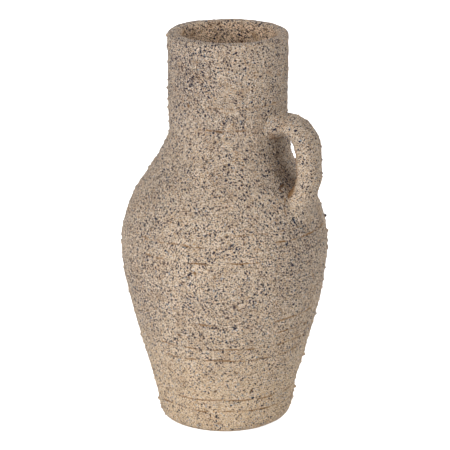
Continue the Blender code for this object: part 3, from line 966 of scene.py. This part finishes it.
def grogged_stoneware(name, colours):
    """Stoneware clay with grog, iron and quartz, fired without glaze.

    To the eye it is chalk-dry and sandy: no highlight, a buff ground that goes from peach at the foot
    to grey at the neck, and close blue-black, brown and pale grains that give it its salt and pepper
    look. Lines and pits are tinted red-brown, partly by staining and partly as painted shade in those
    hollows.
    """
    material = bpy.data.materials.new(name)
    material.use_nodes = True
    tree = material.node_tree
    shader = tree.nodes["Principled BSDF"]
    add = partial(add_node, tree)
    coords = add("TexCoord", output="Object")
    height = add("SeparateXYZ", {0: coords}, "Z")
    brown, dark, drift, inside = (
        add("Attribute", output="Fac", attribute_name=key)
        for key in ("brown", "dark", "drift", "inside")
    )

    # Ground, peach at the foot, buff at the belly, greyer at the neck, browner but paler in the mouth as
    # painted light
    ground = colours.foot
    for low, high, tint in ((0.03, 0.15, colours.belly), (0.19, 0.32, colours.neck)):
        rising = add("MapRange", {0: height, 1: low, 2: high})
        ground = add("Mix", {0: rising, 6: ground, 7: tint}, 2, data_type="RGBA")
    mixed = {0: inside, 6: ground, 7: colours.inside}
    ground = add("Mix", mixed, 2, data_type="RGBA")

    # Clouds a few centimetres across, where the clay dried lighter or darker
    cloud = add("TexNoise", {"Vector": coords, "Scale": 1 / (26 * MM), "Detail": 3.0})
    cloud = add("MapRange", {0: cloud, 1: 0.3, 2: 0.7, 3: 0.93, 4: 1.06})
    ground = add("VectorMath", {0: ground, "Scale": cloud}, operation="SCALE")

    # Grains, stirred as wedged clay is. Iron lies thicker in drifts, two of them painted shade by the
    # handle, and slate mostly low on the body
    low = add("MapRange", {0: height, 1: 0.09, 2: 0.25, 3: 1.0, 4: 0.15})
    thick = add("Math", {0: drift, 1: 1.0}, operation="ADD")
    outside = add("Math", {0: 1.0, 1: inside}, operation="SUBTRACT")
    amounts = {"slate": low, "iron": thick, "pale": outside}
    stir = {"Vector": coords, "Scale": 1 / (20 * MM), "Detail": 0.0}
    stirred = {0: add("TexNoise", stir, "Color"), 1: (STIR, STIR, STIR), 2: coords}
    stirred = add("VectorMath", stirred, operation="MULTIPLY_ADD")
    for kind, size, often, small, large, drawn, show in GRAINS:
        pressed = {"Vector": stirred, "Rotation": GRAIN_TILT, "Scale": (drawn, drawn, 1)}
        grid = add("Mapping", pressed, vector_type="TEXTURE")
        if kind in amounts:
            often = add("Math", {0: amounts[kind], 1: often}, operation="MULTIPLY")
        mask = grain_mask(add, grid, size * MM, often, small, large)
        mask = add("Math", {0: mask, 1: show}, operation="MULTIPLY")
        mixed = {0: mask, 6: ground, 7: getattr(colours, kind)}
        ground = add("Mix", mixed, 2, data_type="RGBA")

    # Rust-brown, partly painted shade, in the lines and pits, broken up by the sand, and in a few small
    # clouds
    sand = add("TexNoise", {"Vector": coords, "Scale": 1 / (1.5 * MM), "Detail": 2.0})
    broken = add("Math", {0: sand, 1: 1.0, 2: 0.5}, operation="MULTIPLY_ADD")
    broken = add("Math", {0: broken, 1: brown}, operation="MULTIPLY")
    broken = add("MapRange", {0: broken, 1: 0.2, 2: 0.72, 4: 0.85})
    patch = add("TexNoise", {"Vector": coords, "Scale": 1 / (12 * MM), "Detail": 4.0})
    most = add("MapRange", {0: inside, 3: 0.25, 4: 0.65})
    patch = add("MapRange", {0: patch, 1: 0.5, 2: 0.74, 4: most})
    stain_and_shade = add("Math", {0: broken, 1: patch}, operation="MAXIMUM")
    # The iron-dark marks also paint the shade in the strap's crease and under its foot
    for mask, tint in ((stain_and_shade, colours.rust_and_hollow_shade), (dark, colours.iron)):
        ground = add("Mix", {0: mask, 6: ground, 7: tint}, 2, data_type="RGBA")

    tree.links.new(ground, shader.inputs["Base Color"])
    shader.inputs["Roughness"].default_value = 0.92
    shader.inputs["Specular IOR Level"].default_value = 0.25
    shader.inputs["Metallic"].default_value = 0.0

    # Sand too fine for the mesh
    bump = add("Bump", {"Strength": 0.7, "Distance": 0.6 * MM, "Height": sand})
    tree.links.new(bump, shader.inputs["Normal"])
    return material


def clay(context):
    """The one clay that all the pieces are made of."""
    name = "grogged_stoneware"
    return bpy.data.materials.get(name) or grogged_stoneware(name, context.scene.jug_clay)


# The studio

# Camera fitted to the photo: turn and dip in degrees, distance from the axis and height in metres, lens
# in mm
CAMERA_TURN = -59
CAMERA_FAR = 2.4
CAMERA_HEIGHT = 0.9422
CAMERA_DIP = 17.182
LENS = 199.18

# Soft lights: name, turn from the camera and rise in degrees, size in metres, power in watts
SOFTBOXES = (
    ("key_light", -33, 15, 1.2, 41),
    ("front_fill", 62, 26, 0.4, 7.5),
    ("side_light", 91, 36, 0.4, 10),
    ("back_light", 180, 42, 1.0, 21),
)
SOFTBOX_FAR = 2.2

# Strength of the sky as light and as it is seen, and of the white paper's glow where it is seen
SKY_LIGHT = 0.18
SKY_SEEN = 1.0
PAPER_GLOW = 0.9


def seen_directly(add):
    """Mask of what the camera sees straight, in a mirror or through glass, and not as light."""
    path = add("LightPath").node.outputs
    seen = path["Is Camera Ray"]
    for ray in (path["Is Glossy Ray"], path["Is Transmission Ray"]):
        seen = add("Math", {0: seen, 1: ray}, operation="MAXIMUM")
    return seen


def studio_floor():
    """Matt white floor that the camera sees as bare white, but for the pot's soft shadow."""
    material = bpy.data.materials.new("matt_white_paper")
    material.use_nodes = True
    tree = material.node_tree
    tree.nodes.clear()
    add = partial(add_node, tree)
    paper = add("BsdfDiffuse", {"Color": to_linear("#F4F4F4")})
    glow = add("Emission", {"Color": (1, 1, 1), "Strength": PAPER_GLOW})
    lit = add("AddShader", {0: paper, 1: glow})
    mixed = add("MixShader", {0: seen_directly(add), 1: paper, 2: lit})
    tree.links.new(mixed, tree.nodes.new("ShaderNodeOutputMaterial").inputs["Surface"])
    bm = bmesh.new()
    bmesh.ops.create_circle(bm, cap_ends=True, radius=6, segments=64)
    mesh = to_mesh(bm, "studio_floor")
    mesh.materials.append(material)
    floor = add_object(mesh)
    floor.location.z = -0.2 * MM


def softbox(name, turn, rise, size, power, target):
    """A square soft light aimed at the target."""
    data = bpy.data.lights.new(name, "AREA")
    data.shape = "SQUARE"
    data.size = size
    data.energy = power
    lamp = add_object(data)
    turn, rise = math.radians(CAMERA_TURN + turn), math.radians(rise)
    level = math.cos(rise)
    way = Vector((level * math.cos(turn), level * math.sin(turn), math.sin(rise)))
    lamp.location = target + SOFTBOX_FAR * way
    lamp.rotation_euler = way.to_track_quat("Z", "Y").to_euler()


def place_camera():
    """Camera at the photo's angle."""
    data = bpy.data.cameras.new("photo_camera")
    data.lens = LENS
    data.sensor_width = 36
    camera = add_object(data)
    turn = math.radians(CAMERA_TURN)
    camera.location = (CAMERA_FAR * math.cos(turn), CAMERA_FAR * math.sin(turn), CAMERA_HEIGHT)
    camera.rotation_euler = (math.radians(90 - CAMERA_DIP), 0, turn + math.pi / 2)
    bpy.context.scene.camera = camera


def light_studio():
    """Soft key from the left of the camera, two weaker lights from the right, one behind, pale sky."""
    middle = Vector((0, 0, 0.2))
    for settings in SOFTBOXES:
        softbox(*settings, middle)
    world = bpy.data.worlds.new("pale_sky")
    world.use_nodes = True
    tree = world.node_tree
    sky = tree.nodes["Background"]
    sky.inputs["Color"].default_value = (1, 1, 1, 1)
    add = partial(add_node, tree)
    glow = add("MapRange", {0: seen_directly(add), 3: SKY_LIGHT, 4: SKY_SEEN})
    tree.links.new(glow, sky.inputs["Strength"])
    bpy.context.scene.world = world
    bpy.context.scene.view_settings.view_transform = "Standard"


# Operators, one for each piece or group of like pieces


class JUG_OT_courses(Operator):
    """Builds the slab and the courses of clay up to the neck"""

    bl_idname = "jug.courses"
    bl_label = "Slab and Courses"

    def execute(self, context):
        wall = Wall(context.scene.jug_body)
        gap = context.scene.jug_surface.ring_gap
        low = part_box("floor_slab")[1][2]
        make_turned(context, wall, "floor_slab", slab_section(wall, low, gap))
        for node, slot in COURSES:
            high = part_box(node)[1][2]
            make_turned(context, wall, node, course_section(wall, low, high, gap))
            low = high
        return {"FINISHED"}


class JUG_OT_neck(Operator):
    """Builds the neck with its rounded lip"""

    bl_idname = "jug.neck"
    bl_label = "Neck"

    def execute(self, context):
        wall = Wall(context.scene.jug_body)
        rows = neck_section(wall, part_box("neck_root")[1][2], context.scene.jug_surface.ring_gap)
        make_turned(context, wall, "neck", rows)
        return {"FINISHED"}


class JUG_OT_handle(Operator):
    """Builds the strap handle and the two pads that join it to the body"""

    bl_idname = "jug.handle"
    bl_label = "Handle"

    def execute(self, context):
        make_handle(context, Wall(context.scene.jug_body))
        return {"FINISHED"}


class JUG_OT_studio(Operator):
    """Sets up the floor, the lights and the camera"""

    bl_idname = "jug.studio"
    bl_label = "Studio"

    def execute(self, context):
        studio_floor()
        light_studio()
        place_camera()
        return {"FINISHED"}


OPERATORS = (JUG_OT_courses, JUG_OT_neck, JUG_OT_handle, JUG_OT_studio)


class JUG_PT_panel(Panel):
    """Lists the steps of the build"""

    bl_idname = "JUG_PT_panel"
    bl_label = "Jug Vase"
    bl_space_type = "VIEW_3D"
    bl_region_type = "UI"
    bl_category = "Jug Vase"

    def draw(self, context):
        for operator in OPERATORS:
            self.layout.operator(operator.bl_idname)
        for group in GROUPS:
            box = self.layout.box()
            settings = getattr(context.scene, group)
            for key in settings.__annotations__:
                box.prop(settings, key)


GROUPS = {
    "jug_body": JugBodySizes,
    "jug_handle": JugHandleSizes,
    "jug_surface": JugSurfaceSizes,
    "jug_clay": JugClayColours,
}


def register():
    for item in (*GROUPS.values(), *OPERATORS, JUG_PT_panel):
        bpy.utils.register_class(item)
    for key, group in GROUPS.items():
        setattr(bpy.types.Scene, key, PointerProperty(type=group))


def unregister():
    for key in GROUPS:
        delattr(bpy.types.Scene, key)
    for item in reversed((*GROUPS.values(), *OPERATORS, JUG_PT_panel)):
        bpy.utils.unregister_class(item)


def main():
    register()
    for operator in OPERATORS:
        module, name = operator.bl_idname.split(".")
        getattr(getattr(bpy.ops, module), name)()


if __name__ == "__main__":
    main()
